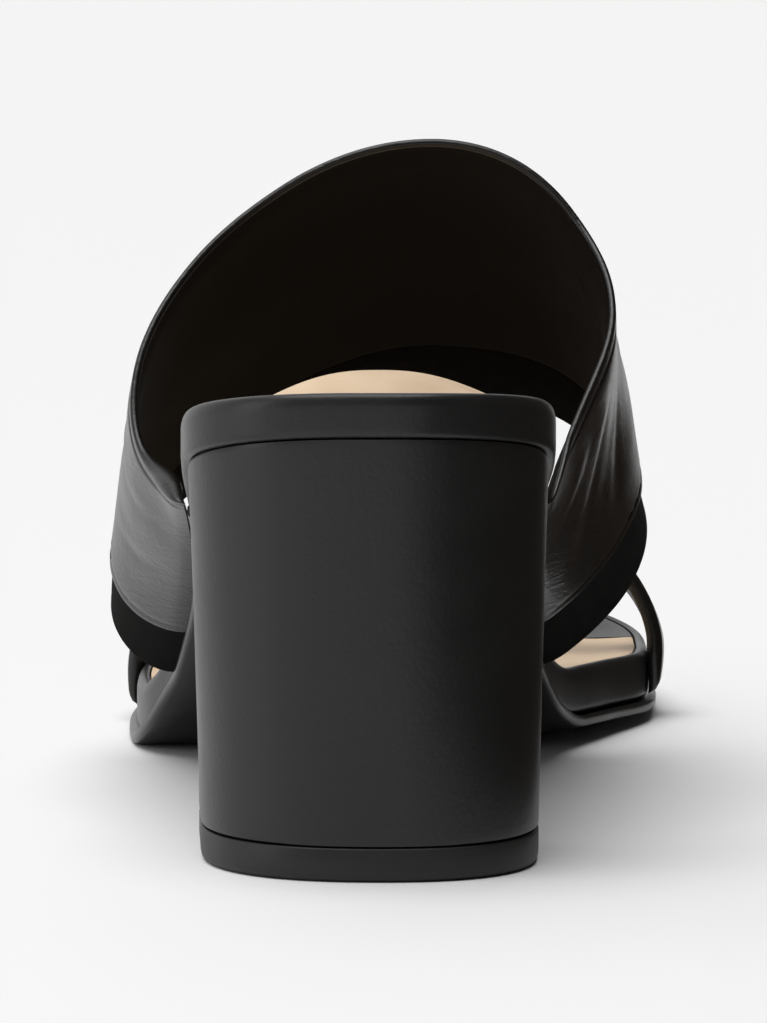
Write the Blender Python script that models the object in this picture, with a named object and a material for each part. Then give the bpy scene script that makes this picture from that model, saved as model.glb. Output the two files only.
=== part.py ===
"""Block heel mule for a left foot: a leather upper and a toe strap over a padded footbed, on a covered heel.

Metres, +Z up. The toe points along +Y and the big toe's side lies towards +X.
The shoe stands on the plane Z = 0, on the heel's top piece and on the flat of the outsole.
"""

import math
from collections import namedtuple

import bmesh
import bpy
from mathutils import Vector

# Driving dimensions of the footbed and the heel
LENGTH = 0.228  # footbed, heel to toe, measured level
HEEL_RISE = 0.0723  # floor to the footbed's underside at the heel's back
SEAT_WIDTH = 0.0605
WAIST_WIDTH = 0.0545
BALL_WIDTH = 0.087
TOE_WIDTH = 0.084
SEAT_ROUND = 0.029  # length of the rounded heel end
TOE_ROUND = 0.034  # length of the rounded toe end
TOE_SPRING = 0.006
FOOTBED_THICKNESS = 0.0082
OUTSOLE_THICKNESS = 0.002
ARCH_LIFT = 0.0034  # how far the inner edge is lifted at the arch
OUTSOLE_LEDGE = 0.0013  # how far the outsole stands out past the footbed
OUTSOLE_BEVEL = 0.0007  # how far the outsole's lower edge is cut back

# The heel block and its rubber top piece
HEEL_DEPTH_TOP = 0.055
HEEL_DEPTH_FOOT = 0.0405
HEEL_FOOT_WIDTH = 0.0547
HEEL_INSET = 0.0011  # the footbed's overhang round the top of the heel
HEEL_LEAN = 0.003  # how far the heel's back moves forward on its way down
HEEL_TURN = math.radians(3.0)  # the heel's axis turns towards the little toe
TOP_PIECE = 0.0055
TOP_PIECE_BEVEL = 0.0009  # how far its lower edge is cut back

# The sock that lines the footbed
SOCK_MARGIN = 0.0021  # black rim left round the sock
SOCK_EDGE = 0.0010
HEEL_CUSHION = 0.0057
FORE_CUSHION = 0.0012
CUSHION_RUN = 0.016  # length over which the cushion rises from its back edge
CUSHION_EDGE = 0.80  # share of the sock's half width where the cushion ends
CUSHION_POWER = 1.3  # how flat the cushion's crown is across
CUSHION_SHIFT = 0.06  # how far its crown lies towards the big toe's side, as a share of the half width
SOCK_END = 0.86  # share of LENGTH where the pale sock stops and the toe lining starts

# The upper, its front trim and the toe strap
INSTEP_HEIGHT = 0.0785  # footbed underside to the upper's ridge, under the collar's peak
UPPER_WALL = 0.0021
FEATHER_WALL = 0.0016  # the wall is thinned where it is lasted on to the sole
FEATHER_RUN = 0.10  # share of the way across over which the wall thins
TRIM_WALL = 0.0014
STRAP_WALL = 0.0026
STRAP_WIDTH = 0.0095

GAP = 0.0003  # clearance between pieces that meet
STATIONS = 44  # cuts across the sole, heel to toe
ROUND_POWER = 2.35  # fullness of the rounded ends

BLACK = (0.012, 0.012, 0.013)
DARK = (0.004, 0.004, 0.004)
NUDE = (0.70, 0.50, 0.34)

# The footbed's outline: its width, and its middle's place towards the big toe as a share of BALL_WIDTH
Plan = namedtuple("Plan", "along width middle")
PLAN = (
    Plan(0.00, SEAT_WIDTH, -0.004),
    Plan(0.15, SEAT_WIDTH, -0.012),
    Plan(0.40, WAIST_WIDTH, -0.043),
    Plan(0.52, 1.08 * WAIST_WIDTH, -0.058),
    Plan(0.61, 0.81 * BALL_WIDTH, -0.072),
    Plan(0.69, 0.925 * BALL_WIDTH, -0.043),
    Plan(0.775, BALL_WIDTH, 0.000),
    Plan(0.87, TOE_WIDTH, 0.016),
    Plan(1.00, 0.90 * TOE_WIDTH, 0.035),
)

# The footbed seen from the side, as shares of HEEL_RISE, FOOTBED_THICKNESS, ARCH_LIFT and OUTSOLE_LEDGE
Side = namedtuple("Side", "along rise thickness arch ledge")
SIDE = (
    Side(0.00, 1.000, 0.88, 0.45, 0.00),
    Side(0.15, 0.853, 1.00, 0.45, 0.00),
    Side(0.31, 0.640, 1.00, 0.50, 0.00),
    Side(0.42, 0.437, 1.00, 0.80, 0.60),
    Side(0.55, 0.160, 1.00, 1.00, 1.00),
    Side(0.60, 0.045, 1.00, 1.00, 1.00),
    Side(0.645, 0.000, 1.00, 0.92, 1.00),
    Side(0.80, 0.000, 0.96, 0.45, 1.00),
    Side(1.00, 0.000, 0.90, 0.30, 1.00),
)
FLAT_END = 0.82  # share of LENGTH where the tread leaves the floor

# The footbed's edge: shares of the sock's margin inwards and of the rim's thickness upwards
RimStep = namedtuple("RimStep", "inset height")
RIM = (
    RimStep(0.25, 0.00),
    RimStep(0.05, 0.06),
    RimStep(0.00, 0.18),
    RimStep(0.00, 0.66),
    RimStep(0.10, 0.83),
    RimStep(0.34, 0.95),
    RimStep(0.72, 1.00),
    RimStep(1.00, 0.98),
)

# The rise of the sock's cushion along the shoe
Crown = namedtuple("Crown", "along rise")
CROWN = (
    Crown(0.00, HEEL_CUSHION),
    Crown(0.14, HEEL_CUSHION),
    Crown(0.32, FORE_CUSHION),
    Crown(1.00, FORE_CUSHION),
)

# The foot's form: its ridge, and for each side how far the wall swings out, lifts and rounds over
Form = namedtuple("Form", "along height shift lat_spread lat_lift lat_shoulder med_spread med_lift med_shoulder")
FORM = (
    Form(0.30, 0.94, 0.05, 0.20, 0.30, 0.36, 0.12, 0.42, 0.36),
    Form(0.38, 1.00, 0.09, 0.285, 0.24, 0.41, 0.27, 0.44, 0.32),
    Form(0.45, 1.00, 0.10, 0.305, 0.24, 0.42, 0.28, 0.39, 0.31),
    Form(0.525, 0.90, 0.09, 0.315, 0.275, 0.38, 0.34, 0.50, 0.31),
    Form(0.62, 0.74, 0.07, 0.19, 0.43, 0.32, 0.36, 0.60, 0.28),
    Form(0.77, 0.46, 0.07, 0.03, 0.60, 0.30, 0.03, 0.60, 0.29),
    Form(0.90, 0.30, 0.06, 0.03, 0.60, 0.28, 0.03, 0.60, 0.28),
)

# Shares of LENGTH where the edges of the upper, the trim and the strap lie, from the outer to the inner side
Edge = namedtuple("Edge", "across collar front trim strap")
EDGES = (
    Edge(0.00, 0.250, 0.478, 0.536, 0.775),
    Edge(0.10, 0.330, 0.525, 0.571, 0.777),
    Edge(0.20, 0.375, 0.567, 0.602, 0.780),
    Edge(0.29, 0.414, 0.583, 0.617, 0.783),
    Edge(0.38, 0.440, 0.588, 0.623, 0.786),
    Edge(0.52, 0.452, 0.587, 0.622, 0.790),
    Edge(0.66, 0.440, 0.578, 0.612, 0.794),
    Edge(0.80, 0.378, 0.571, 0.608, 0.797),
    Edge(0.90, 0.318, 0.536, 0.586, 0.797),
    Edge(1.00, 0.262, 0.494, 0.552, 0.800),
)


def clear_scene():
    for thing in list(bpy.data.objects):
        bpy.data.objects.remove(thing)


def follow(rows, column, at):
    """Value of a column at a point along the rows, on a smooth curve that never overshoots them."""
    xs = [row[0] for row in rows]
    ys = [getattr(row, column) for row in rows]
    at = min(max(at, xs[0]), xs[-1])
    spans = [b - a for a, b in zip(xs, xs[1:])]
    rates = [(b - a) / span for a, b, span in zip(ys, ys[1:], spans)]
    slopes = [rates[0]]
    for before, after in zip(rates, rates[1:]):
        slopes.append(2 * before * after / (before + after) if before * after > 0 else 0.0)
    slopes.append(rates[-1])
    i = max(k for k in range(len(spans)) if xs[k] <= at)
    t = (at - xs[i]) / spans[i]
    return (
        ys[i] * (1 + 2 * t) * (1 - t) ** 2
        + ys[i + 1] * t * t * (3 - 2 * t)
        + spans[i] * t * (1 - t) * (slopes[i] * (1 - t) - slopes[i + 1] * t)
    )


def rounded(reach, length):
    """Share of the full width at a distance from a rounded end of that length."""
    t = min(max(reach / length, 0.0), 1.0)
    return (1 - (1 - t) ** ROUND_POWER) ** (1 / ROUND_POWER)


def half_widths(y):
    """Distances from the axis to the footbed's outer and inner edge."""
    along = y / LENGTH
    width = follow(PLAN, "width", along) / 2
    middle = follow(PLAN, "middle", along) * BALL_WIDTH
    width *= rounded(y, SEAT_ROUND) * rounded(LENGTH - y, TOE_ROUND)
    return width - middle, width + middle


def under(x, y):
    """Height of the footbed's underside."""
    along = y / LENGTH
    base = OUTSOLE_THICKNESS + GAP
    spring = max(0.0, (along - FLAT_END) / (1 - FLAT_END)) ** 2 * TOE_SPRING
    middle = follow(PLAN, "middle", along) * BALL_WIDTH
    inward = min(max(0.0, x - middle) / (follow(PLAN, "width", along) / 2), 1.0)
    lift = inward**2 * follow(SIDE, "arch", along) * ARCH_LIFT
    return base + (HEEL_RISE - base) * follow(SIDE, "rise", along) + spring + lift


def rim(y):
    """Height of the footbed's rim above its underside."""
    return FOOTBED_THICKNESS * follow(SIDE, "thickness", y / LENGTH)


def stations(start, end):
    """Cuts along the sole from start to end, closer together towards the two rounded ends."""
    whole = [LENGTH / 2 * (1 - math.cos(math.pi * i / STATIONS)) for i in range(STATIONS + 1)]
    return [start] + [y for y in whole if start < y < end] + [end]


def closed(y):
    """Whether the outline comes to a single point there."""
    return y <= 0.0 or y >= LENGTH


def inset_edge(edge, opposite, inset, sign):
    """One side of the outline moved inwards, square to its own run."""
    moved = []
    last = len(edge) - 1
    for i, point in enumerate(edge):
        before = edge[i - 1] if i else opposite[1]
        after = edge[i + 1] if i < last else opposite[-2]
        run = (after - before).normalized()
        inward = Vector((run.y, -run.x)) * -sign
        if i in (0, last) and not closed(point.y):
            inward = Vector((-sign, 0.0))
        moved.append(point + inward * inset)
    return moved


def plan_sides(places, inset):
    """The outer and inner edge of the footbed at each place, moved inwards by the inset."""
    outer = [Vector((-half_widths(y)[0], y)) for y in places]
    inner = [Vector((half_widths(y)[1], y)) for y in places]
    return inset_edge(outer, inner, inset, -1), inset_edge(inner, outer, inset, 1)


def make_object(name, bm, colour, roughness):
    """Closes up a mesh, gives it a material and adds it to the scene."""
    bmesh.ops.remove_doubles(bm, verts=bm.verts[:], dist=1e-6)
    bmesh.ops.recalc_face_normals(bm, faces=bm.faces[:])
    mesh = bpy.data.meshes.new(name)
    bm.to_mesh(mesh)
    bm.free()
    mesh.shade_smooth()
    mesh.set_sharp_from_angle(angle=math.radians(35))
    material = bpy.data.materials.new(name)
    material.use_nodes = True
    shader = material.node_tree.nodes["Principled BSDF"]
    shader.inputs["Base Color"].default_value = (*colour, 1.0)
    shader.inputs["Roughness"].default_value = roughness
    shader.inputs["Metallic"].default_value = 0.0
    mesh.materials.append(material)
    thing = bpy.data.objects.new(name, mesh)
    bpy.context.scene.collection.objects.link(thing)
    return thing


def paired_solid(name, places, across, levels, place, colour, roughness):
    """A solid in levels from its bottom to its top; place gives the point at a station, across and level."""
    bm = bmesh.new()
    count = len(places) - 1
    path = [(i, 0) for i in range(count + 1)]
    path += [(count, j) for j in range(1, across + 1)]
    path += [(i, across) for i in range(count - 1, -1, -1)]
    path += [(0, j) for j in range(across - 1, 0, -1)]
    rings = [[bm.verts.new(place(i, j, k)) for i, j in path] for k in range(levels)]
    for low, high in zip(rings, rings[1:]):
        for n in range(len(path)):
            after = (n + 1) % len(path)
            bm.faces.new((low[n], low[after], high[after], high[n]))
    for ring, k in ((rings[0], 0), (rings[-1], levels - 1)):
        grid = dict(zip(path, ring))
        for i in range(1, count):
            for j in range(1, across):
                grid[i, j] = bm.verts.new(place(i, j, k))
        for i in range(count):
            for j in range(across):
                bm.faces.new((grid[i, j], grid[i + 1, j], grid[i + 1, j + 1], grid[i, j + 1]))
    return make_object(name, bm, colour, roughness)


def across_point(sides, i, j, across):
    outer, inner = sides[0][i], sides[1][i]
    return outer.lerp(inner, j / across)


def make_footbed():
    places = stations(0.0, LENGTH)
    insets = [step.inset * SOCK_MARGIN for step in RIM] + [SOCK_MARGIN]
    sides = [plan_sides(places, inset) for inset in insets]
    across = 8

    def place(i, j, k):
        point = across_point(sides[k], i, j, across)
        floor = rim(point.y) - SOCK_EDGE - GAP
        height = RIM[k].height * rim(point.y) if k < len(RIM) else floor
        return Vector((point.x, point.y, under(point.x, point.y) + height))

    return paired_solid("footbed", places, across, len(insets), place, BLACK, 0.45)


def crown(y, q):
    """Rise of the sock's cushion, q running from -1 to 1 across it."""
    edge = SOCK_MARGIN + GAP + 0.5 * SOCK_EDGE
    back = min(max((y - edge) / CUSHION_RUN, 0.0), 1.0)
    front = min(max((LENGTH - edge - y) / CUSHION_RUN, 0.0), 1.0)
    ends = (1 - (1 - back) ** 2) * (1 - (1 - front) ** 2)
    side = min(abs(q - CUSHION_SHIFT) / CUSHION_EDGE, 1.0)
    return follow(CROWN, "rise", y / LENGTH) * (1 - side**2.4) ** CUSHION_POWER * ends


def make_sock(name, start, end, colour):
    places = stations(start, end)
    insets = [SOCK_MARGIN + GAP, SOCK_MARGIN + GAP, SOCK_MARGIN + GAP + 0.5 * SOCK_EDGE]
    heights = [0.0, 0.6 * SOCK_EDGE, SOCK_EDGE]
    sides = [plan_sides(places, inset) for inset in insets]
    across = 10

    def place(i, j, k):
        point = across_point(sides[k], i, j, across)
        seat = under(point.x, point.y) + rim(point.y) - SOCK_EDGE
        top = crown(point.y, 2 * j / across - 1) if k == 2 else 0.0
        return Vector((point.x, point.y, seat + heights[k] + top))

    return paired_solid(name, places, across, 3, place, colour, 0.6)


def make_outsole():
    places = stations(HEEL_DEPTH_TOP + GAP, LENGTH)
    bevels = [OUTSOLE_BEVEL, 0.0, 0.0]
    heights = [0.0, 0.3, 1.0]
    flush = [plan_sides(places, bevel) for bevel in bevels]
    proud = [plan_sides(places, bevel - OUTSOLE_LEDGE) for bevel in bevels]
    ledges = [follow(SIDE, "ledge", y / LENGTH) for y in places]
    across = 8

    def place(i, j, k):
        point = across_point(flush[k], i, j, across).lerp(across_point(proud[k], i, j, across), ledges[i])
        level = heights[k] * OUTSOLE_THICKNESS - OUTSOLE_THICKNESS - GAP
        return Vector((point.x, point.y, under(point.x, min(point.y, LENGTH)) + level))

    return paired_solid("outsole", places, across, 3, place, BLACK, 0.7)


def heel_foot(share, inset):
    """The outer and inner edge of the heel's foot, at a share of its depth from the back."""
    depth = inset + share * (HEEL_DEPTH_FOOT - 2 * inset)
    y = HEEL_LEAN + depth
    width = (HEEL_FOOT_WIDTH / 2 - inset) * rounded(depth - inset, 0.9 * SEAT_ROUND)
    middle = -math.tan(HEEL_TURN) * (y - SEAT_ROUND / 2)
    return Vector((middle - width, y)), Vector((middle + width, y))


def make_heel_block():
    across, levels = 8, 9
    places = stations(0.0, HEEL_DEPTH_TOP)
    top = plan_sides(places, HEEL_INSET)

    def place(i, j, k):
        t = k / (levels - 1)
        flare = 0.9 * t + 0.1 * t**5
        foot = heel_foot(places[i] / HEEL_DEPTH_TOP, 0.0)
        high = across_point(top, i, j, across)
        low = foot[0].lerp(foot[1], j / across)
        plan = low.lerp(high, flare)
        floor = TOP_PIECE + GAP
        return Vector((plan.x, plan.y, floor + (under(high.x, high.y) - GAP - floor) * t))

    return paired_solid("heel_block", places, across, levels, place, BLACK, 0.5)


def make_top_piece():
    across = 4
    places = stations(0.0, HEEL_DEPTH_TOP)
    insets = [TOP_PIECE_BEVEL, TOP_PIECE_BEVEL / 3, 0.0, 0.0]
    heights = [0.0, 0.12, 0.30, 1.0]

    def place(i, j, k):
        foot = heel_foot(places[i] / HEEL_DEPTH_TOP, insets[k])
        plan = foot[0].lerp(foot[1], j / across)
        return Vector((plan.x, plan.y, heights[k] * TOP_PIECE))

    return paired_solid("top_piece", places, across, 4, place, BLACK, 0.75)


def bezier(a, b, c, d, t):
    s = 1 - t
    return a * s**3 + b * 3 * s * s * t + c * 3 * s * t * t + d * t**3


def form_point(y, across):
    """A point of the foot's form inside the upper; across runs from the outer side to the inner side."""
    along = y / LENGTH
    ridge_height = under(0.0, y) + follow(FORM, "height", along) * INSTEP_HEIGHT
    ridge = Vector((follow(FORM, "shift", along) * BALL_WIDTH, y, ridge_height))
    side, sign, prefix, t = (0, -1, "lat", 2 * across) if across <= 0.5 else (1, 1, "med", 2 - 2 * across)
    foot = sign * half_widths(y)[side]
    base = under(foot, y) + GAP
    feather = Vector((foot + sign * GAP, y, base))
    spread = follow(FORM, prefix + "_spread", along) * BALL_WIDTH
    lift = follow(FORM, prefix + "_lift", along) * (ridge_height - base)
    shoulder = follow(FORM, prefix + "_shoulder", along) * BALL_WIDTH
    return bezier(
        feather,
        feather + Vector((sign * spread, 0.0, lift)),
        ridge + Vector((sign * shoulder, 0.0, 0.0)),
        ridge,
        t,
    )


def form_slope(y, across):
    """How the form runs there, for each metre along the shoe."""
    step = LENGTH / 450
    return (form_point(y + step, across) - form_point(y - step, across)) / (2 * step)


def form_normal(y, across):
    """Outward direction of the wall there: straight out at the feather edges, square to the form elsewhere."""
    step = 0.004
    low, high = max(across - step, 0.0), min(across + step, 1.0)
    run = form_point(y, high) - form_point(y, low)
    normal = run.cross(form_slope(y, across)).normalized()
    sideways = Vector((math.copysign(1.0, across - 0.5), 0.0, 0.0))
    return sideways.lerp(normal, min(min(across, 1 - across) / (0.6 * FEATHER_RUN), 1.0)).normalized()


def feathered(wall, across):
    """Wall thickness, thinned towards both feather edges."""
    t = min(min(across, 1 - across) / FEATHER_RUN, 1.0)
    thin = min(FEATHER_WALL, wall)
    return thin + (wall - thin) * t * t * (3 - 2 * t)


def make_shell(name, start, end, wall, columns, rows, colour, roughness):
    """A wall over the form between two edges that are functions of the place across."""
    bm = bmesh.new()
    rings = []
    for i in range(columns + 1):
        across = i / columns
        first, last = start(across), end(across)
        thick = feathered(wall, across)
        outer, inner = [], []
        for j in range(rows + 1):
            y = first + (last - first) * j / rows
            point, normal = form_point(y, across), form_normal(y, across)
            outer.append(bm.verts.new(point + normal * thick))
            inner.append(bm.verts.new(point))
        roll = 0.3 * thick / max(form_slope(first, across).length, 1e-9)
        back = form_point(first - roll, across) + form_normal(first, across) * thick / 2
        front = form_point(last + roll, across) + form_normal(last, across) * thick / 2
        rings.append((outer, bm.verts.new(front), inner, bm.verts.new(back)))
    loops = [outer + [front] + inner[::-1] + [back] for outer, front, inner, back in rings]
    for one, two in zip(loops, loops[1:]):
        for n in range(len(one)):
            after = (n + 1) % len(one)
            bm.faces.new((one[n], one[after], two[after], two[n]))
    for outer, front, inner, back in (rings[0], rings[-1]):
        for j in range(rows):
            bm.faces.new((outer[j], outer[j + 1], inner[j + 1], inner[j]))
        bm.faces.new((outer[rows], front, inner[rows]))
        bm.faces.new((outer[0], inner[0], back))
    return make_object(name, bm, colour, roughness)


def edge_at(column, across):
    return follow(EDGES, column, across) * LENGTH


def stretch(y, across):
    """Length along the form for each metre along the shoe."""
    return form_slope(y, across).length


def make_upper():
    return make_shell(
        "upper",
        lambda a: edge_at("collar", a),
        lambda a: edge_at("front", a),
        UPPER_WALL,
        44,
        11,
        BLACK,
        0.4,
    )


def make_front_trim():
    def start(across):
        y = edge_at("front", across)
        return y + (GAP + 0.3 * (UPPER_WALL + TRIM_WALL)) / stretch(y, across)

    def end(across):
        return edge_at("trim", across)

    return make_shell("front_trim", start, end, TRIM_WALL, 44, 3, DARK, 0.95)


def make_toe_strap():
    def edge(across, sign):
        y = edge_at("strap", across)
        return y + sign * STRAP_WIDTH / 2 / stretch(y, across)

    return make_shell(
        "toe_strap",
        lambda a: edge(a, -1),
        lambda a: edge(a, 1),
        STRAP_WALL,
        40,
        3,
        BLACK,
        0.4,
    )


def centre_on_origin(things):
    """Moves the whole shoe so that the middle of its box stands over the origin."""
    corners = [vertex.co for thing in things for vertex in thing.data.vertices]
    middle_x = (min(c.x for c in corners) + max(c.x for c in corners)) / 2
    middle_y = (min(c.y for c in corners) + max(c.y for c in corners)) / 2
    for thing in things:
        thing.location = (-middle_x, -middle_y, 0.0)


def main():
    clear_scene()
    sock_end = SOCK_END * LENGTH
    things = [
        make_footbed(),
        make_sock("sock", 0.0, sock_end - GAP / 2, NUDE),
        make_sock("toe_lining", sock_end + GAP / 2, LENGTH, BLACK),
        make_outsole(),
        make_heel_block(),
        make_top_piece(),
        make_upper(),
        make_front_trim(),
        make_toe_strap(),
    ]
    centre_on_origin(things)
    return things


main()
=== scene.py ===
import math

import bpy
import numpy as np
from mathutils import Matrix, Vector


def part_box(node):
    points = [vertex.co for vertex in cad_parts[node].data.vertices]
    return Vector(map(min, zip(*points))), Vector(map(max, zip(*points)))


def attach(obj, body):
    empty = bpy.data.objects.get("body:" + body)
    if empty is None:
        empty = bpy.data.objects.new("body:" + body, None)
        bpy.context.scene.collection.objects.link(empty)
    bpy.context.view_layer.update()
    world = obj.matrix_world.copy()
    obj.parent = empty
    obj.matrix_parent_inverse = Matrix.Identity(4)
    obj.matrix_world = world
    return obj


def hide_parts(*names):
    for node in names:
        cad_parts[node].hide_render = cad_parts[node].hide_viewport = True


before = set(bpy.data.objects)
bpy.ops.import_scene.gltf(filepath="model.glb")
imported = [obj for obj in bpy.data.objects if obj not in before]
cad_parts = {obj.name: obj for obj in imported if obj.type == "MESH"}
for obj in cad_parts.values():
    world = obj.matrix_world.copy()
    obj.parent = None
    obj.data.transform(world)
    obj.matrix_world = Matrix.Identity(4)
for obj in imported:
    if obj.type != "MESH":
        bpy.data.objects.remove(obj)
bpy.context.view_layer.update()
print("frame loaded:", ", ".join(sorted(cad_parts)))

# The last that the leather is laid on, in metres, with the CAD model's own sizes. In the tables, at is a
# share of length, and widths are metres. The middles, shifts, spreads and shoulders are shares of ball, and
# the other columns are shares of the size that they belong to. In leatherEdges, at is the share of the way
# across from the little toe's side, and the edges are shares of length.
lastSizes = {
    "length": 0.228, "heelRise": 0.0723, "ball": 0.087, "instep": 0.0785,
    "seatRound": 0.029, "toeRound": 0.034, "roundPower": 2.35, "flatEnd": 0.82,
    "toeSpring": 0.006, "archLift": 0.0034, "footbed": 0.0082, "outsole": 0.002, "gap": 0.0003,
}
outline = {
    "at": (0, 0.15, 0.40, 0.52, 0.61, 0.69, 0.775, 0.87, 1),
    "width": (0.0605, 0.0605, 0.0545, 0.05886, 0.07047, 0.080475, 0.087, 0.084, 0.0756),
    "middle": (-0.004, -0.012, -0.043, -0.058, -0.072, -0.043, 0, 0.016, 0.035),
}
sideView = {
    "at": (0, 0.15, 0.31, 0.42, 0.55, 0.60, 0.645, 0.80, 1),
    "rise": (1, 0.853, 0.640, 0.437, 0.160, 0.045, 0, 0, 0),
    "thickness": (0.88, 1, 1, 1, 1, 1, 1, 0.96, 0.90),
    "arch": (0.45, 0.45, 0.50, 0.80, 1, 1, 0.92, 0.45, 0.30),
    "ledge": (0, 0, 0, 0.60, 1, 1, 1, 1, 1),
}
footForm = {
    "at": (0.30, 0.38, 0.45, 0.525, 0.62, 0.77, 0.90),
    "height": (0.94, 1, 1, 0.90, 0.74, 0.46, 0.30),
    "shift": (0.05, 0.09, 0.10, 0.09, 0.07, 0.07, 0.06),
    "outerSpread": (0.20, 0.285, 0.305, 0.315, 0.19, 0.03, 0.03),
    "outerLift": (0.30, 0.24, 0.24, 0.275, 0.43, 0.60, 0.60),
    "outerShoulder": (0.36, 0.41, 0.42, 0.38, 0.32, 0.30, 0.28),
    "innerSpread": (0.12, 0.27, 0.28, 0.34, 0.36, 0.03, 0.03),
    "innerLift": (0.42, 0.44, 0.39, 0.50, 0.60, 0.60, 0.60),
    "innerShoulder": (0.36, 0.32, 0.31, 0.31, 0.28, 0.29, 0.28),
}
leatherEdges = {
    "at": (0, 0.10, 0.20, 0.29, 0.38, 0.52, 0.66, 0.80, 0.90, 1),
    "collar": (0.250, 0.330, 0.375, 0.414, 0.440, 0.452, 0.440, 0.378, 0.318, 0.262),
    "front": (0.478, 0.525, 0.567, 0.583, 0.588, 0.587, 0.578, 0.571, 0.536, 0.494),
    "trim": (0.536, 0.571, 0.602, 0.617, 0.623, 0.622, 0.612, 0.608, 0.586, 0.552),
    "strap": (0.775, 0.777, 0.780, 0.783, 0.786, 0.790, 0.794, 0.797, 0.797, 0.800),
}


def follow(table, column, at):
    # a smooth curve through a column of the table, which never overshoots its rows
    xs, ys = np.array(table["at"], float), np.array(table[column], float)
    at = np.clip(at, xs[0], xs[-1])
    span = np.diff(xs)
    rate = np.diff(ys) / span
    product = rate[:-1] * rate[1:]
    total = np.where(product > 0, rate[:-1] + rate[1:], 1.0)
    slope = np.concatenate(([rate[0]], np.where(product > 0, 2 * product / total, 0.0), [rate[-1]]))
    i = np.clip(np.searchsorted(xs, at, side="right") - 1, 0, len(span) - 1)
    t = (at - xs[i]) / span[i]
    low = ys[i] * (1 + 2 * t) * (1 - t) ** 2
    high = ys[i + 1] * t * t * (3 - 2 * t)
    return low + high + span[i] * t * (1 - t) * (slope[i] * (1 - t) - slope[i + 1] * t)


def roundedEnd(reach, length):
    t = np.clip(reach / length, 0, 1)
    power = lastSizes["roundPower"]
    return (1 - (1 - t) ** power) ** (1 / power)


def halfWidths(y):
    along = y / lastSizes["length"]
    ends = roundedEnd(y, lastSizes["seatRound"])
    ends = ends * roundedEnd(lastSizes["length"] - y, lastSizes["toeRound"])
    width = follow(outline, "width", along) / 2 * ends
    middle = follow(outline, "middle", along) * lastSizes["ball"]
    return width - middle, width + middle


# from the heel's back on the axis to the frame's middle
innerReach = halfWidths(np.linspace(0, lastSizes["length"], 2000))[1].max()
shift = np.array([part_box("footbed")[1].x - innerReach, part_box("footbed")[0].y, 0])


def underside(x, y):
    along = y / lastSizes["length"]
    base = lastSizes["outsole"] + lastSizes["gap"]
    spring = np.clip((along - lastSizes["flatEnd"]) / (1 - lastSizes["flatEnd"]), 0, None) ** 2
    middle = follow(outline, "middle", along) * lastSizes["ball"]
    inward = np.clip((x - middle) / (follow(outline, "width", along) / 2), 0, 1)
    lift = inward**2 * follow(sideView, "arch", along) * lastSizes["archLift"]
    rise = (lastSizes["heelRise"] - base) * follow(sideView, "rise", along)
    return base + rise + spring * lastSizes["toeSpring"] + lift


def formPoint(y, across):
    # across runs from 0 at the little toe's side to 1 at the big toe's side
    y, across = np.broadcast_arrays(np.asarray(y, float), np.asarray(across, float))
    along, ball = y / lastSizes["length"], lastSizes["ball"]
    inner = across > 0.5
    sign = np.where(inner, 1.0, -1.0)
    t = np.where(inner, 2 - 2 * across, 2 * across)
    outerHalf, innerHalf = halfWidths(y)
    footX = np.where(inner, innerHalf, -outerHalf)
    base = underside(footX, y) + lastSizes["gap"]
    ridgeX = follow(footForm, "shift", along) * ball
    ridgeZ = underside(0.0, y) + follow(footForm, "height", along) * lastSizes["instep"]

    def pick(word):
        innerSide, outerSide = (follow(footForm, side + word, along) for side in ("inner", "outer"))
        return np.where(inner, innerSide, outerSide)

    s = 1 - t
    a, b, c, d = s**3, 3 * s * s * t, 3 * s * t * t, t**3
    startX = footX + sign * lastSizes["gap"]
    x = a * startX + b * (startX + sign * pick("Spread") * ball)
    x = x + c * (ridgeX + sign * pick("Shoulder") * ball) + d * ridgeX
    z = a * base + b * (base + pick("Lift") * (ridgeZ - base)) + (c + d) * ridgeZ
    return np.stack([x, y, z], -1)


def unit(v):
    return v / np.maximum(np.linalg.norm(v, axis=-1, keepdims=True), 1e-12)


def formSlope(y, across):
    return (formPoint(y + 0.0005, across) - formPoint(y - 0.0005, across)) / 0.001


def formNormal(y, across):
    y, across = np.broadcast_arrays(np.asarray(y, float), np.asarray(across, float))
    low, high = np.clip(across - 0.004, 0, 1), np.clip(across + 0.004, 0, 1)
    normal = unit(np.cross(formPoint(y, high) - formPoint(y, low), formSlope(y, across)))
    sideways = np.zeros_like(normal)
    sideways[..., 0] = np.sign(across - 0.5)
    share = np.clip(np.minimum(across, 1 - across) / 0.06, 0, 1)[..., None]
    return unit(sideways * (1 - share) + normal * share)


def edgeAt(column, across):
    return follow(leatherEdges, column, across) * lastSizes["length"]


def squareStep(column, across):
    # metres of y for each metre that a point moves square to an edge
    low, high = np.clip(across - 0.004, 0, 1), np.clip(across + 0.004, 0, 1)
    run = formPoint(edgeAt(column, high), high) - formPoint(edgeAt(column, low), low)
    turn = np.cross(formSlope(edgeAt(column, across), across), run)
    return np.linalg.norm(run, axis=-1) / np.linalg.norm(turn, axis=-1)


def soft(distance, width):
    return np.exp(-((distance / width) ** 2))


def deselectAll():
    if bpy.context.object and bpy.context.object.mode != "OBJECT":
        bpy.ops.object.mode_set(mode="OBJECT")
    bpy.ops.object.select_all(action="DESELECT")


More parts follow.
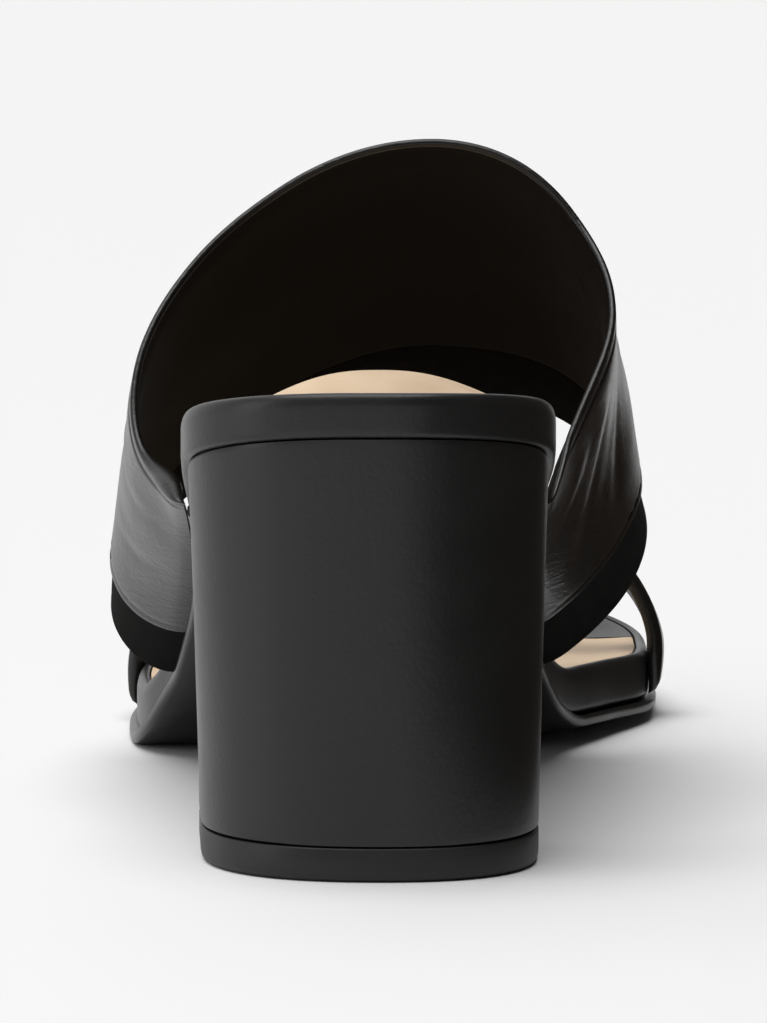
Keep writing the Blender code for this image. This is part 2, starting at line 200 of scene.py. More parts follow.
def cleanMesh(piece):
    deselectAll()
    piece.select_set(True)
    bpy.context.view_layer.objects.active = piece
    bpy.ops.object.mode_set(mode="EDIT")
    bpy.ops.mesh.select_all(action="SELECT")
    bpy.ops.mesh.remove_doubles(threshold=1e-6)
    bpy.ops.mesh.normals_make_consistent(inside=False)
    bpy.ops.object.mode_set(mode="OBJECT")
    bpy.ops.object.shade_smooth_by_angle(angle=math.radians(50))


def laidSheet(name, places):
    # a grid primitive whose loops are laid on the given places: columns, then points round each section
    columns, count = places.shape[:2]
    deselectAll()
    bpy.ops.mesh.primitive_grid_add(x_subdivisions=columns - 1, y_subdivisions=count, size=1.0)
    piece = bpy.context.object
    piece.name = piece.data.name = name
    flat = np.zeros(len(piece.data.vertices) * 3)
    piece.data.vertices.foreach_get("co", flat)
    flat = flat.reshape(-1, 3)
    column = np.rint((flat[:, 0] + 0.5) * (columns - 1)).astype(int)
    point = np.rint((flat[:, 1] + 0.5) * count).astype(int) % count
    piece.data.vertices.foreach_set("co", (places[column, point] + shift).ravel())
    cleanMesh(piece)
    return piece


def wallPlaces(start, end, columns, startMm, middle, endMm, outer, inner):
    # sections of a closed wall over the form; outer and inner give its two faces' heights above it in mm
    across = np.linspace(0, 1, columns + 1)
    a = across[:, None]
    startY, endY = edgeAt(start, across), edgeAt(end, across)
    startStep, endStep = squareStep(start, across), squareStep(end, across)
    rows = [startY + mm / 1000 * startStep for mm in startMm]
    rows += [startY + share * (endY - startY) for share in middle]
    rows += [endY - mm / 1000 * endStep for mm in endMm[::-1]]
    y = np.stack(rows, 1)
    fromStart = (y - startY[:, None]) / startStep[:, None] * 1000
    beforeEnd = (endY[:, None] - y) / endStep[:, None] * 1000
    base, normal = formPoint(y, a), formNormal(y, a)
    high = outer(a, y, fromStart, beforeEnd) / 1000
    low = inner(a, y, fromStart, beforeEnd) / 1000
    # the wall's two ends round in to its inner face, against the footbed's side
    fromEnd = np.clip(np.minimum(np.arange(columns + 1), np.arange(columns, -1, -1)) / 3, 0, 1)
    high = low + (high - low) * np.sqrt(1 - (1 - fromEnd) ** 2)[:, None]
    middleOff = (high + low) / 2
    top = base + normal * high[..., None]
    bottom = base + normal * low[..., None]

    def roll(row, step, sign):
        thick = high[:, row] - low[:, row]
        points = []
        for angle in (60, 30, 0, -30, -60):
            out = 0.42 * thick * math.cos(math.radians(angle)) * sign * step
            off = middleOff[:, row] + thick / 2 * math.sin(math.radians(angle))
            points.append(formPoint(y[:, row] + out, across) + formNormal(y[:, row], across) * off[:, None])
        return np.stack(points, 1)

    front = roll(-1, endStep, 1)
    back = roll(0, startStep, -1)[:, ::-1]
    return np.concatenate([top, front, bottom[:, ::-1], back], 1)


def finishPiece(piece, material, slotName, *nodes):
    piece.data.materials.clear()
    piece.data.materials.append(material)
    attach(piece, "root")
    if nodes:
        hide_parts(*nodes)
    return piece


# materials

def newMaterial(name, colour, roughness):
    material = bpy.data.materials.new(name)
    material.use_nodes = True
    shader = material.node_tree.nodes["Principled BSDF"]
    shader.inputs["Base Color"].default_value = (*colour, 1)
    shader.inputs["Roughness"].default_value = roughness
    return material, material.node_tree.nodes, material.node_tree.links, shader


def leatherMaterial(name, settings):
    material, nodes, links, shader = newMaterial(name, settings["colour"], settings["roughness"])
    place = nodes.new("ShaderNodeTexCoord")
    tone = nodes.new("ShaderNodeTexNoise")
    tone.inputs["Scale"].default_value = settings["toneScale"]
    tone.inputs["Detail"].default_value = 4
    links.new(place.outputs["Object"], tone.inputs["Vector"])
    ramp = nodes.new("ShaderNodeValToRGB")
    ramp.color_ramp.elements[0].position, ramp.color_ramp.elements[1].position = 0.3, 0.7
    ramp.color_ramp.elements[0].color = (*settings["colour"], 1)
    ramp.color_ramp.elements[1].color = (*settings["colour2"], 1)
    links.new(tone.outputs["Fac"], ramp.inputs["Fac"])
    links.new(ramp.outputs["Color"], shader.inputs["Base Color"])
    gloss = nodes.new("ShaderNodeMapRange")
    gloss.inputs["From Min"].default_value, gloss.inputs["From Max"].default_value = 0.3, 0.7
    gloss.inputs["To Min"].default_value = settings["roughness"] - settings["roughVary"]
    gloss.inputs["To Max"].default_value = settings["roughness"] + settings["roughVary"]
    links.new(tone.outputs["Fac"], gloss.inputs["Value"])
    links.new(gloss.outputs["Result"], shader.inputs["Roughness"])
    grain = nodes.new("ShaderNodeTexVoronoi")
    grain.feature = "SMOOTH_F1"
    grain.inputs["Scale"].default_value = settings["grainScale"]
    links.new(place.outputs["Object"], grain.inputs["Vector"])
    fine = nodes.new("ShaderNodeTexNoise")
    fine.inputs["Scale"].default_value = settings["fineScale"]
    fine.inputs["Detail"].default_value = 5
    links.new(place.outputs["Object"], fine.inputs["Vector"])
    both = nodes.new("ShaderNodeMath")
    both.operation = "MULTIPLY_ADD"
    both.inputs[1].default_value = settings["fineShare"]
    links.new(fine.outputs["Fac"], both.inputs[0])
    links.new(grain.outputs["Distance"], both.inputs[2])
    bump = nodes.new("ShaderNodeBump")
    bump.inputs["Strength"].default_value = settings["bump"]
    bump.inputs["Distance"].default_value = settings["bumpDepth"]
    if settings["wrinkle"]:
        # fine wrinkles that run level
        stretch = nodes.new("ShaderNodeMapping")
        stretch.inputs["Scale"].default_value = settings["wrinkleStretch"]
        links.new(place.outputs["Object"], stretch.inputs["Vector"])
        folds = nodes.new("ShaderNodeTexNoise")
        folds.inputs["Scale"].default_value = settings["wrinkleScale"]
        folds.inputs["Detail"].default_value = 2
        folds.inputs["Distortion"].default_value = 0.6
        links.new(stretch.outputs["Vector"], folds.inputs["Vector"])
        wrinkle = nodes.new("ShaderNodeBump")
        wrinkle.inputs["Strength"].default_value = settings["wrinkle"]
        wrinkle.inputs["Distance"].default_value = settings["wrinkleDepth"]
        links.new(folds.outputs["Fac"], wrinkle.inputs["Height"])
        links.new(wrinkle.outputs["Normal"], bump.inputs["Normal"])
    links.new(both.outputs["Value"], bump.inputs["Height"])
    links.new(bump.outputs["Normal"], shader.inputs["Normal"])
    shader.inputs["Coat Weight"].default_value = settings["coat"]
    shader.inputs["Coat Roughness"].default_value = settings["coatRoughness"]
    shader.inputs["Sheen Weight"].default_value = settings["sheen"]
    shader.inputs["Sheen Roughness"].default_value = 0.5
    shader.inputs["Specular IOR Level"].default_value = settings["specular"]
    return material


smoothLeather = {
    "colour": (0.0060, 0.0054, 0.0050), "colour2": (0.0095, 0.0085, 0.0076), "toneScale": 70,
    "roughness": 0.34, "roughVary": 0.05, "grainScale": 1300, "fineScale": 2600, "fineShare": 0.5,
    "bump": 0.32, "bumpDepth": 0.00014, "coat": 0.1, "coatRoughness": 0.2, "sheen": 0.0, "specular": 0.42,
    "wrinkle": 0, "wrinkleScale": 420, "wrinkleDepth": 0.0003, "wrinkleStretch": (0.35, 0.35, 2.2),
}
blackLeather = leatherMaterial("black_leather", {**smoothLeather, "wrinkle": 0.35})
heelLeather = leatherMaterial("heel_leather", {
    **smoothLeather, "colour": (0.0090, 0.0088, 0.0088), "colour2": (0.0120, 0.0116, 0.0114),
    "roughness": 0.40, "coat": 0.0, "toneScale": 45, "bump": 0.2, "specular": 0.44,
})
bedLeather = leatherMaterial("footbed_leather", {
    **smoothLeather, "colour": (0.0105, 0.0103, 0.0103), "colour2": (0.0135, 0.0131, 0.0129),
    "roughness": 0.4, "coat": 0.05, "bump": 0.2, "specular": 0.4,
})
liningLeather = leatherMaterial("dark_lining", {
    **smoothLeather, "colour": (0.0062, 0.0044, 0.0032), "colour2": (0.0088, 0.0062, 0.0044),
    "roughness": 0.7, "coat": 0.0, "grainScale": 1900, "bump": 0.2, "specular": 0.12,
})
suede = leatherMaterial("black_suede", {
    **smoothLeather, "colour": (0.0035, 0.0031, 0.0028), "colour2": (0.0075, 0.0066, 0.0060),
    "toneScale": 400, "roughness": 0.95, "coat": 0.0, "grainScale": 3500, "fineScale": 5000, "fineShare": 1.5,
    "bump": 0.5, "bumpDepth": 0.0002, "sheen": 0.02, "specular": 0.05, "roughVary": 0.03,
})
paleSock = leatherMaterial("pale_sock", {
    **smoothLeather, "colour": (0.66, 0.48, 0.315), "colour2": (0.74, 0.56, 0.385), "toneScale": 120,
    "roughness": 0.6, "coat": 0.0, "grainScale": 1700, "bump": 0.18, "specular": 0.4,
})
toeLining = leatherMaterial("toe_lining", {**smoothLeather, "roughness": 0.42, "coat": 0.0})
soleEdge = leatherMaterial("sole_edge", {**smoothLeather, "roughness": 0.35, "bump": 0.08})
heelRubber = leatherMaterial("heel_rubber", {
    **smoothLeather, "colour": (0.011, 0.011, 0.0108), "colour2": (0.015, 0.0148, 0.0145),
    "roughness": 0.5, "coat": 0.0, "grainScale": 4000, "bump": 0.1,
})
thread = leatherMaterial("black_thread", {
    **smoothLeather, "colour": (0.003, 0.003, 0.003), "colour2": (0.005, 0.005, 0.005),
    "roughness": 0.7, "coat": 0.0, "grainScale": 6000, "bump": 0.4, "specular": 0.15,
})
print("materials made")


# upper: black leather with a folded edge, over a dark lining; sizes in mm

upperSizes = {
    "columns": 240, "wall": 2.1, "feather": 1.6, "lining": 0.35, "lip": 0.45, "skive": 0.85, "skiveRun": 2.6,
    "stitchIn": 2.0, "trough": 0.36, "troughWidth": 0.40, "frontStitchIn": 1.6, "frontTrough": 0.14,
    "frontTroughWidth": 0.5, "stitchPitch": 2.9, "girth": 175, "featherRun": 0.10, "creaseSway": 1.2,
    "tuckAt": 0.04, "tuckRun": 0.035, "tuck": 3.3,
}
# soft creases where the leather bends: across and mm from the heel's back at both ends, then width and depth
creases = (
    (0.03, 76, 0.17, 104, 1.6, 0.16), (0.07, 74, 0.22, 96, 1.3, 0.12), (0.02, 88, 0.12, 112, 1.4, 0.14),
    (0.10, 84, 0.20, 112, 1.1, 0.10), (0.86, 84, 0.96, 112, 2.6, 0.40), (0.80, 96, 0.90, 118, 2.2, 0.22),
    (0.90, 76, 0.985, 96, 2.0, 0.26), (0.22, 124, 0.46, 131, 2.4, 0.14), (0.34, 119, 0.62, 127, 2.2, 0.12),
    (0.58, 130, 0.78, 124, 2.3, 0.13), (0.68, 117, 0.80, 109, 1.8, 0.12),
)
# where the sections have points: mm from the collar, shares of the way, mm from the front edge
startRows = (0, 0.2, 0.4, 0.65, 0.9, 1.2, 1.45, 1.7, 1.9, 2.1, 2.3, 2.6, 2.9, 3.4, 4.0, 5.0)
middleRows = tuple(np.linspace(0.2, 0.82, 40))
endRows = (0, 0.4, 0.8, 1.2, 1.6, 2.0, 2.4, 3.0, 4.0)


def feathered(wall, feather, across):
    t = np.clip(np.minimum(across, 1 - across) / upperSizes["featherRun"], 0, 1)
    return feather + (wall - feather) * t * t * (3 - 2 * t)


def creased(a, y):
    girth = upperSizes["girth"]
    u, v = a * girth + 0 * y, y * 1000 + 0 * a
    lift = np.zeros_like(u)
    for a0, v0, a1, v1, width, depth in creases:
        run = np.array([(a1 - a0) * girth, v1 - v0])
        t = ((u - a0 * girth) * run[0] + (v - v0) * run[1]) / (run @ run)
        sway = upperSizes["creaseSway"] * np.sin(5.0 * t + v0)
        away = ((u - a0 * girth) * run[1] - (v - v0) * run[0]) / np.linalg.norm(run) + sway
        fade = np.clip(1 - (2 * t - 1) ** 2, 0, 1)
        lift += depth * fade * (0.7 * soft(away - 1.7 * width, width) - soft(away, width))
    return lift


def upperOuter(a, y, fromStart, fromEnd):
    top = feathered(upperSizes["wall"], upperSizes["feather"], a) + 0 * y
    top = top - upperSizes["trough"] * soft(fromStart - upperSizes["stitchIn"], upperSizes["troughWidth"])
    frontGroove = soft(fromEnd - upperSizes["frontStitchIn"], upperSizes["frontTroughWidth"])
    top = top - upperSizes["frontTrough"] * frontGroove
    # no creases near the grooves and the wall's ends
    calm = np.clip(np.minimum(fromStart - 3, fromEnd - 2) / 4, 0, 1)
    calm = calm * np.clip(np.minimum(a, 1 - a) / 0.03, 0, 1)
    return top + creased(a, y) * calm


def skived(a, fromStart):
    # the edge is thinned from the inside, apart from the outer end, where it is tucked in against the footbed
    tuck = upperSizes["tuck"] * soft(a - upperSizes["tuckAt"], upperSizes["tuckRun"])
    return upperSizes["skive"] * soft(fromStart, upperSizes["skiveRun"]) * (1 - tuck)


def upperInner(a, y, fromStart, fromEnd):
    t = np.clip((fromStart - upperSizes["lip"]) / 0.2, 0, 1)
    return upperSizes["lining"] * t + skived(a, fromStart)


upperLeather = laidSheet("upper_leather", wallPlaces(
    "collar", "front", upperSizes["columns"], startRows, middleRows, endRows, upperOuter, upperInner))
finishPiece(upperLeather, blackLeather, "upper", "upper")

liningStartRows, liningEndRows = (0.55, 0.8, 1.2, 1.7, 2.4, 3.4, 5.0), (0.9, 1.4, 2.2, 3.4)
upperLining = laidSheet("upper_lining", wallPlaces(
    "collar", "front", upperSizes["columns"], liningStartRows, middleRows[::2], liningEndRows,
    lambda a, y, s, e: upperSizes["lining"] - 0.02 + skived(a, s), lambda a, y, s, e: skived(a, s)))
finishPiece(upperLining, liningLeather, "upper")
print("upper laid")

# front trim: a strip of suede under the leather's front edge, sizes in mm

trimSizes = {"columns": 176, "wall": 1.4}
frontTrim = laidSheet("front_trim_suede", wallPlaces(
    "front", "trim", trimSizes["columns"], (-0.6, -0.2, 0.2, 0.8), (0.25, 0.4, 0.55, 0.7), (0, 0.3, 0.6, 1.0),
    lambda a, y, s, e: trimSizes["wall"] + 0 * a * y, lambda a, y, s, e: 0.0 * a * y))
finishPiece(frontTrim, suede, "front_trim", "front_trim")

# toe strap, sizes in mm

strapSizes = {
    "columns": 140, "wall": 2.6, "feather": 1.6, "width": 9.5, "tuck": 0.6, "tuckAt": 0.05, "tuckRun": 0.03,
}


def strapPlaces():
    half = strapSizes["width"] / 2
    nearEdge = (0, 0.4, 0.8, 1.2, 1.8)
    mm = [mm - half for mm in nearEdge] + [-2, 0, 2] + [half - mm for mm in nearEdge[::-1]]
    return wallPlaces("strap", "strap", strapSizes["columns"], mm, (), (),
        lambda a, y, s, e: feathered(strapSizes["wall"], strapSizes["feather"], a) + 0 * y,
        lambda a, y, s, e: -strapSizes["tuck"] * soft(
            np.minimum(a, 1 - a) - strapSizes["tuckAt"], strapSizes["tuckRun"]) + 0 * y)


toeStrap = laidSheet("toe_strap_leather", strapPlaces())
finishPiece(toeStrap, blackLeather, "toe_strap", "toe_strap")
print("trim and strap laid")

# stitches: one stitch is modelled, and the rows are copies of it

stitchSizes = {"length": 2.3, "width": 0.42, "height": 0.34, "raised": 0.02}


def stitchPlaces(column, mm, off, pitch, first, final):
    # places along an edge, mm from it and off mm above the form, between two shares of the way across
    across = np.linspace(first, final, 1500)
    y = edgeAt(column, across) + mm / 1000 * squareStep(column, across)
    points = formPoint(y, across) + formNormal(y, across) * off / 1000
    run = np.concatenate([[0], np.cumsum(np.linalg.norm(np.diff(points, axis=0), axis=1))])
    at = np.interp(np.arange(pitch / 2000, run[-1], pitch / 1000), run, across)
    y = edgeAt(column, at) + mm / 1000 * squareStep(column, at)
    normal = formNormal(y, at)
    place = formPoint(y, at) + normal * off / 1000
    near = np.clip(at + 0.002, 0, 1)
    nearY = edgeAt(column, near) + mm / 1000 * squareStep(column, near)
    along = formPoint(nearY, near) + formNormal(nearY, near) * off / 1000 - place
    return place + shift, unit(along), normal


def stitchRow(name, slotName, *rows):
    deselectAll()
    bpy.ops.mesh.primitive_uv_sphere_add(segments=8, ring_count=6, radius=0.0005)
    stitch = bpy.context.object
    bpy.ops.object.mode_set(mode="EDIT")
    bpy.ops.transform.resize(value=(stitchSizes["length"], stitchSizes["width"], stitchSizes["height"]))
    bpy.ops.object.mode_set(mode="OBJECT")
    copies = []
    for row in rows:
        for place, along, normal in zip(*stitchPlaces(*row)):
            side = unit(np.cross(normal, along))
            up = np.cross(along, side)
            copy = stitch.copy()
            copy.data = stitch.data.copy()
            copy.matrix_world = Matrix([[*along], [*side], [*up]]).transposed().to_4x4()
            copy.location = place
            bpy.context.scene.collection.objects.link(copy)
            copies.append(copy)
    deselectAll()
    for copy in copies:
        copy.select_set(True)
    bpy.context.view_layer.objects.active = copies[0]
    bpy.ops.object.join()
    bpy.ops.object.transform_apply(location=True, rotation=True, scale=True)
    joined = bpy.context.object
    joined.name = joined.data.name = name
    bpy.ops.object.shade_smooth()
    bpy.data.objects.remove(stitch)
    finishPiece(joined, thread, slotName)


pitch = upperSizes["stitchPitch"]
collarOff = upperSizes["wall"] - upperSizes["trough"] + stitchSizes["raised"]
frontOff = upperSizes["wall"] - upperSizes["frontTrough"] + stitchSizes["raised"]
endOff = upperSizes["feather"] - upperSizes["trough"] + 0.05
stitchRow("upper_stitches", "upper",
    ("collar", upperSizes["stitchIn"], collarOff, pitch, 0.12, 0.88),
    ("collar", upperSizes["stitchIn"], endOff, pitch, 0.02, 0.07),
    ("collar", upperSizes["stitchIn"], endOff, pitch, 0.93, 0.98),
    ("front", -upperSizes["frontStitchIn"], frontOff, pitch, 0.12, 0.88))
print("stitches set")

# sole pieces: each is a run of closed sections from the heel's back to the toe; insets and bevels are in mm

rimProfile = {
    "at": (0, 1, 2, 3, 4, 5, 6, 7),
    "inset": (0.25, 0.05, 0.00, 0.00, 0.10, 0.34, 0.72, 1.00),
    "height": (0.00, 0.06, 0.18, 0.66, 0.83, 0.95, 1.00, 0.98),
}
cushion = {"at": (0, 0.14, 0.32, 1), "rise": (5.7, 5.7, 1.2, 1.2)}
sockSizes = {
    "edge": 1.0, "end": 0.86, "insets": (2.4, 2.4, 2.5, 2.9), "levels": (0.0, 0.5, 0.85), "runOut": 0.016,
    "margin": 0.0029, "crownShift": 0.06, "crownEdge": 0.80, "crownPower": 1.3, "across": 40,
}


def soleStations(start, end, count=150):
    whole = lastSizes["length"] / 2 * (1 - np.cos(np.pi * np.arange(count + 1) / count))
    return np.concatenate(([start], whole[(whole > start + 1e-5) & (whole < end - 1e-5)], [end]))


def insetSides(y, inset):
    outerHalf, innerHalf = halfWidths(y)
    outer, inner = np.stack([-outerHalf, y], -1), np.stack([innerHalf, y], -1)
    moved = []
    for edge, other, sign in ((outer, inner, 1), (inner, outer, -1)):
        before = np.concatenate([other[1:2], edge[:-1]])
        after = np.concatenate([edge[1:], other[-2:-1]])
        run = unit(after - before)
        inward = np.stack([run[:, 1], -run[:, 0]], -1) * sign
        for i in (0, -1):
            if 0 < y[i] < lastSizes["length"]:
                inward[i] = (sign, 0)
        moved.append(edge + inward * inset)
    return moved


def rimHeight(y):
    return lastSizes["footbed"] * follow(sideView, "thickness", y / lastSizes["length"])


def soleSections(sides, heights, across, capStart=False, capEnd=False):
    # sides[k] are the two edges on level k, heights(k, x, y, q) the place's height, q from -1 to 1
    last = len(sides) - 1
    loop = []
    for k in range(last + 1):
        outer = sides[k][0]
        loop.append(np.stack([outer[:, 0], outer[:, 1], heights(k, outer[:, 0], outer[:, 1], -1.0)], -1))
    for j in range(1, across):
        p = sides[last][0] + (sides[last][1] - sides[last][0]) * j / across
        loop.append(np.stack([p[:, 0], p[:, 1], heights(last, p[:, 0], p[:, 1], 2 * j / across - 1)], -1))
    for k in range(last, -1, -1):
        inner = sides[k][1]
        loop.append(np.stack([inner[:, 0], inner[:, 1], heights(k, inner[:, 0], inner[:, 1], 1.0)], -1))
    for j in range(across - 1, 0, -1):
        p = sides[0][0] + (sides[0][1] - sides[0][0]) * j / across
        loop.append(np.stack([p[:, 0], p[:, 1], heights(0, p[:, 0], p[:, 1], 0.0)], -1))
    sections = np.stack(loop, 1)
    if capStart:
        sections = np.concatenate([closing(sections[0])[::-1], sections])
    if capEnd:
        sections = np.concatenate([sections, closing(sections[-1])])
    return sections


def closing(section):
    middle = section.mean(0)
    return np.stack([section + (middle - section) * share for share in (0.01, 0.3, 0.65, 1.0)])


def sidesAt(y, insets):
    return [insetSides(y, inset / 1000) for inset in insets]


footbedSizes = {"margin": 2.1, "levels": 24, "seat": 0.0013, "across": 16}
levelsAt = np.linspace(0, 7, footbedSizes["levels"])
rimInsets = follow(rimProfile, "inset", levelsAt) * footbedSizes["margin"]
rimHeights = follow(rimProfile, "height", levelsAt)
wholeSole = soleStations(0.0, lastSizes["length"])


def footbedHeight(k, x, y, q):
    if k < len(rimHeights):
        return underside(x, y) + rimHeights[k] * rimHeight(y)
    return underside(x, y) + rimHeight(y) - footbedSizes["seat"]


footbed = laidSheet("footbed_cover", soleSections(
    sidesAt(wholeSole, list(rimInsets) + [footbedSizes["margin"]]), footbedHeight, footbedSizes["across"]))
finishPiece(footbed, bedLeather, "footbed", "footbed")


def sockHeight(k, x, y, q):
    edge = sockSizes["edge"] / 1000
    seat = underside(x, y) + rimHeight(y) - edge
    if k < len(sockSizes["levels"]):
        return seat + sockSizes["levels"][k] * edge
    back = np.clip((y - sockSizes["margin"]) / sockSizes["runOut"], 0, 1)
    front = np.clip((lastSizes["length"] - sockSizes["margin"] - y) / sockSizes["runOut"], 0, 1)
    ends = (1 - (1 - back) ** 2) * (1 - (1 - front) ** 2)
    side = min(abs(q - sockSizes["crownShift"]) / sockSizes["crownEdge"], 1.0)
    crown = (1 - side**2.4) ** sockSizes["crownPower"]
    return seat + edge + follow(cushion, "rise", y / lastSizes["length"]) / 1000 * crown * ends


sockEnd, halfGap = sockSizes["end"] * lastSizes["length"], lastSizes["gap"] / 2
sock = laidSheet("sock_lining", soleSections(
    sidesAt(soleStations(0.0, sockEnd - halfGap), sockSizes["insets"]),
    sockHeight, sockSizes["across"], capEnd=True))
finishPiece(sock, paleSock, "sock", "sock")
toeSock = laidSheet("toe_sock", soleSections(
    sidesAt(soleStations(sockEnd + halfGap, lastSizes["length"]), sockSizes["insets"]),
    sockHeight, sockSizes["across"], capStart=True))
finishPiece(toeSock, toeLining, "toe_lining", "toe_lining")

outsoleSizes = {"ledge": 1.3, "heelDepth": 0.055, "across": 14}
outsoleBevels = (0.9, 0.45, 0.12, 0.0, 0.0, 0.06, 0.3)
outsoleShares = (0.0, 0.03, 0.16, 0.36, 0.72, 0.92, 1.0)


def outsoleHeight(k, x, y, q):
    top = underside(x, np.minimum(y, lastSizes["length"])) - lastSizes["gap"]
    return top - (1 - outsoleShares[k]) * lastSizes["outsole"]


outsoleStations = soleStations(outsoleSizes["heelDepth"] + lastSizes["gap"], lastSizes["length"])
ledge = follow(sideView, "ledge", outsoleStations / lastSizes["length"])[:, None]
outsoleSides = []
for bevel in outsoleBevels:
    flush = insetSides(outsoleStations, bevel / 1000)
    proud = insetSides(outsoleStations, (bevel - outsoleSizes["ledge"]) / 1000)
    outsoleSides.append([a + (b - a) * ledge for a, b in zip(flush, proud)])
outsolePiece = laidSheet("outsole_sheet", soleSections(
    outsoleSides, outsoleHeight, outsoleSizes["across"], capStart=True))
finishPiece(outsolePiece, soleEdge, "outsole", "outsole")

heelSizes = {
    "depthTop": 0.055, "depthFoot": 0.0405, "footWidth": 0.0547, "inset": 1.1, "lean": 0.003,
    "turn": math.radians(3), "topPiece": 0.0055, "levels": 30, "across": 12, "topAcross": 10,
}
heelStations = soleStations(0.0, heelSizes["depthTop"], 220)


def heelFoot(share, inset):
    depth = inset + share * (heelSizes["depthFoot"] - 2 * inset)
    y = heelSizes["lean"] + depth
    width = (heelSizes["footWidth"] / 2 - inset) * roundedEnd(depth - inset, 0.9 * lastSizes["seatRound"])
    middle = -math.tan(heelSizes["turn"]) * (y - lastSizes["seatRound"] / 2)
    return np.stack([middle - width, y], -1), np.stack([middle + width, y], -1)


# the cover's edges are rounded by tucks in mm at the first and last shares of its height
heelRounding = {
    "at": (0, 0.002, 0.006, 0.012, 0.985, 0.993, 1.0), "tuck": (0.45, 0.2, 0.06, 0, 0, 0.06, 0.25),
}
heelShares = np.concatenate((
    heelRounding["at"][:4], np.linspace(0.03, 0.985, heelSizes["levels"]), heelRounding["at"][5:]))
heelTucks = np.interp(heelShares, heelRounding["at"], heelRounding["tuck"])
highSides = insetSides(heelStations, heelSizes["inset"] / 1000)
lowSides = heelFoot(heelStations / heelSizes["depthTop"], 0.0)
heelFloor = heelSizes["topPiece"] + lastSizes["gap"]
heelLevels = []
for share, tuck in zip(heelShares, heelTucks):
    flare = 0.9 * share + 0.1 * share**5
    pair = [low + (high - low) * flare for low, high in zip(lowSides, highSides)]
    centre = (pair[0] + pair[1]) / 2
    heelLevels.append([p + unit(centre - p) * tuck / 1000 for p in pair])


def heelHeight(k, x, y, q):
    share = heelShares[k]
    mix = (q + 1) / 2
    high = highSides[0] + (highSides[1] - highSides[0]) * mix
    return heelFloor + (underside(high[:, 0], high[:, 1]) - lastSizes["gap"] - heelFloor) * share


heelCover = laidSheet("heel_cover", soleSections(heelLevels, heelHeight, heelSizes["across"], capEnd=True))
finishPiece(heelCover, heelLeather, "heel_block", "heel_block")

topInsets = (0.9, 0.5, 0.2, 0.05, 0.0, 0.0, 0.1, 0.35)
topShares = (0.0, 0.03, 0.10, 0.22, 0.35, 0.93, 0.98, 1.0)
topPiece = laidSheet("heel_top_piece", soleSections(
    [heelFoot(heelStations / heelSizes["depthTop"], inset / 1000) for inset in topInsets],
    lambda k, x, y, q: topShares[k] * heelSizes["topPiece"] + 0 * x, heelSizes["topAcross"], capEnd=True))
finishPiece(topPiece, heelRubber, "top_piece", "top_piece")
print("sole and heel made")

# camera, floor and light

cameraSizes = {
    "aim": (0.00026, -0.01965, 0.0473), "distance": 2.1, "azimuth": 1.4, "elevation": 7.8, "lens": 443.7,
}
azimuth, elevation = math.radians(cameraSizes["azimuth"]), math.radians(cameraSizes["elevation"])
level = math.cos(elevation)
back = Vector((math.sin(azimuth) * level, -math.cos(azimuth) * level, math.sin(elevation)))
cameraData = bpy.data.cameras.new("camera")
camera = bpy.data.objects.new("camera", cameraData)
bpy.context.scene.collection.objects.link(camera)
camera.location = Vector(cameraSizes["aim"]) + back * cameraSizes["distance"]
camera.rotation_euler = (-back).to_track_quat("-Z", "Y").to_euler()
cameraData.sensor_fit = "VERTICAL"
cameraData.sensor_height = 36
cameraData.lens = cameraSizes["lens"]
cameraData.clip_end = 50
bpy.context.scene.camera = camera

lightSizes = {
    "near": 0.15, "far": 1.0, "farFrom": (-0.7, 0.9), "rightShade": 0.06, "shadeFrom": (0.0, 0.42),
    "sun": 2.12, "sunPlace": (-0.25, -0.35, 2.0), "sunAngle": math.radians(50),
    "left": 1.9, "leftPlace": (-1.0, -0.5, 0.35), "leftSize": (0.5, 0.7),
}
world = bpy.data.worlds.new("studio")
world.use_nodes = True
worldNodes, worldLinks = world.node_tree.nodes, world.node_tree.links
worldNodes["Background"].inputs["Color"].default_value = (1, 1, 1, 1)
direction = worldNodes.new("ShaderNodeTexCoord")
parts = worldNodes.new("ShaderNodeSeparateXYZ")
worldLinks.new(direction.outputs["Generated"], parts.inputs["Vector"])


def worldRamp(axis, reach, low, high):
    ramp = worldNodes.new("ShaderNodeMapRange")
    ramp.interpolation_type = "SMOOTHSTEP"
    ramp.inputs["From Min"].default_value, ramp.inputs["From Max"].default_value = reach
    ramp.inputs["To Min"].default_value, ramp.inputs["To Max"].default_value = low, high
    worldLinks.new(parts.outputs[axis], ramp.inputs["Value"])
    return ramp.outputs["Result"]


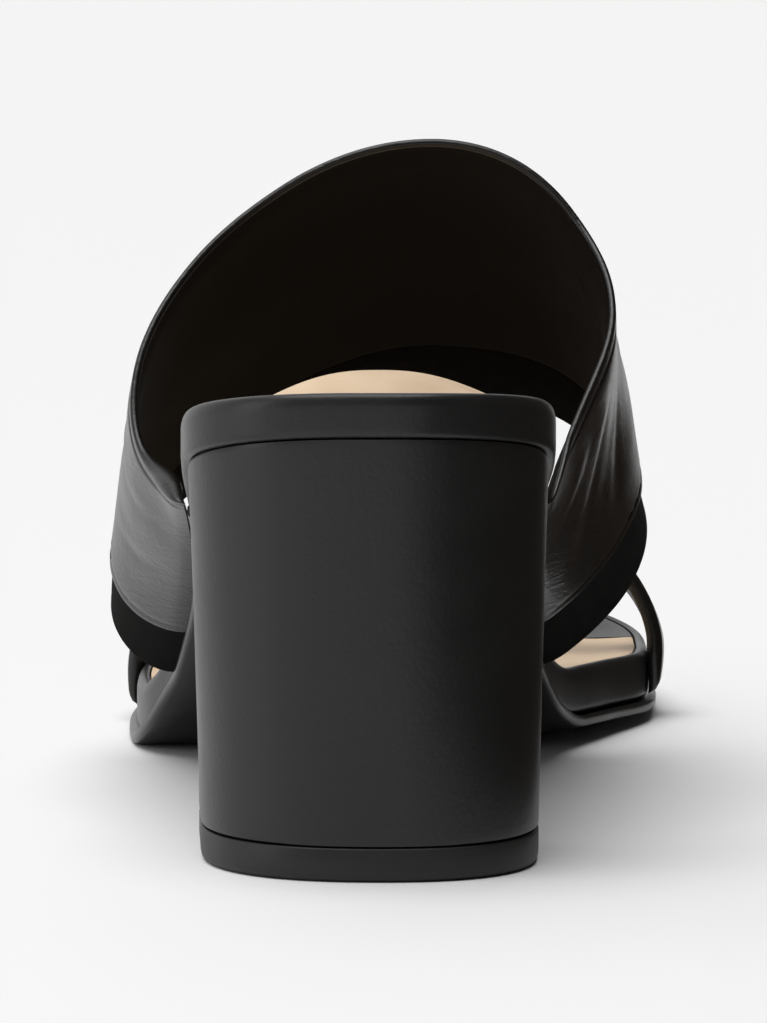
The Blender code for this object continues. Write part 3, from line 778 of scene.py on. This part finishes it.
# the room is bright beyond the shoe and above it, and darker behind the camera and on the right
strength = worldNodes.new("ShaderNodeMath")
strength.operation = "MULTIPLY"
beyond = worldRamp("Y", lightSizes["farFrom"], lightSizes["near"], lightSizes["far"])
rightward = worldRamp("X", lightSizes["shadeFrom"], 1.0, lightSizes["rightShade"])
worldLinks.new(beyond, strength.inputs[0])
worldLinks.new(rightward, strength.inputs[1])
worldLinks.new(strength.outputs["Value"], worldNodes["Background"].inputs["Strength"])
bpy.context.scene.world = world
bpy.context.scene.view_settings.view_transform = "Standard"

deselectAll()
bpy.ops.mesh.primitive_plane_add(size=12, location=(0, 0, -0.0001))
floor = bpy.context.object
floor.name = "floor"
floorMaterial, _, _, floorShader = newMaterial("pale_floor", (0.9, 0.9, 0.9), 0.9)
floorShader.inputs["Specular IOR Level"].default_value = 0.1
floor.data.materials.append(floorMaterial)


def softLight(name, kind, place, aim, energy, size):
    data = bpy.data.lights.new(name, kind)
    data.energy = energy
    if kind == "SUN":
        data.angle = size
    else:
        data.shape = "RECTANGLE"
        data.size, data.size_y = size
    light = bpy.data.objects.new(name, data)
    bpy.context.scene.collection.objects.link(light)
    light.location = place
    light.rotation_euler = (Vector(aim) - Vector(place)).to_track_quat("-Z", "Y").to_euler()


softLight("overhead", "SUN", lightSizes["sunPlace"], (0, 0, 0), lightSizes["sun"], lightSizes["sunAngle"])
softLight(
    "left_box", "AREA", lightSizes["leftPlace"], (0, 0, 0.05), lightSizes["left"], lightSizes["leftSize"])

# a dark card out of view on the right, seen only in reflections, where the pair's other shoe would stand
cardSizes = {"place": (0.102, -0.105, 0.0755), "lean": math.radians(-57), "height": 0.178, "length": 0.40}
deselectAll()
bpy.ops.mesh.primitive_plane_add(size=1, location=cardSizes["place"], rotation=(0, cardSizes["lean"], 0))
card = bpy.context.object
card.name = "shade_card"
card.scale = (cardSizes["height"], cardSizes["length"], 1)
bpy.ops.object.transform_apply(location=True, rotation=True, scale=True)
cardMaterial, _, _, _ = newMaterial("dark_card", (0.035, 0.024, 0.016), 1.0)
card.data.materials.append(cardMaterial)
card.visible_camera = card.visible_shadow = card.visible_diffuse = False
print("camera, floor and light set")
